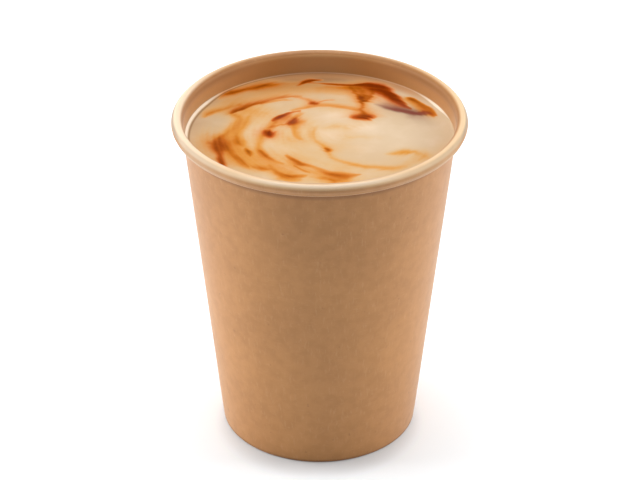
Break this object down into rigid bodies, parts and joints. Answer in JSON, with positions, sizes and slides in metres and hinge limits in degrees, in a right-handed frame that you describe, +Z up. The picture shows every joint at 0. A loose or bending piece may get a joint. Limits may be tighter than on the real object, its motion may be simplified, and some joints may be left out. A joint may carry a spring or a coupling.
{
  "type": "brown sugar milk tea",
  "caption": "Milk tea streaked with brown sugar syrup, filled near the brim of an open, tapered kraft paper cup with a rolled rim.",
  "frame": {"origin": "centre of the circle on which the cup stands", "axes": "+Z up along the cup's axis, -Y towards the viewer, the glued lap of the wall at +Y"},
  "size_m": [0.09, 0.09, 0.107],
  "materials": {
    "kraft_paper": "matt",
    "kraft_base": "matt",
    "milk_tea": "glossy liquid"
  },
  "bodies": {
    "root": {"cup_wall": "kraft_paper", "cup_base": "kraft_base", "milk_tea": "milk_tea"}
  },
  "joints": []
}
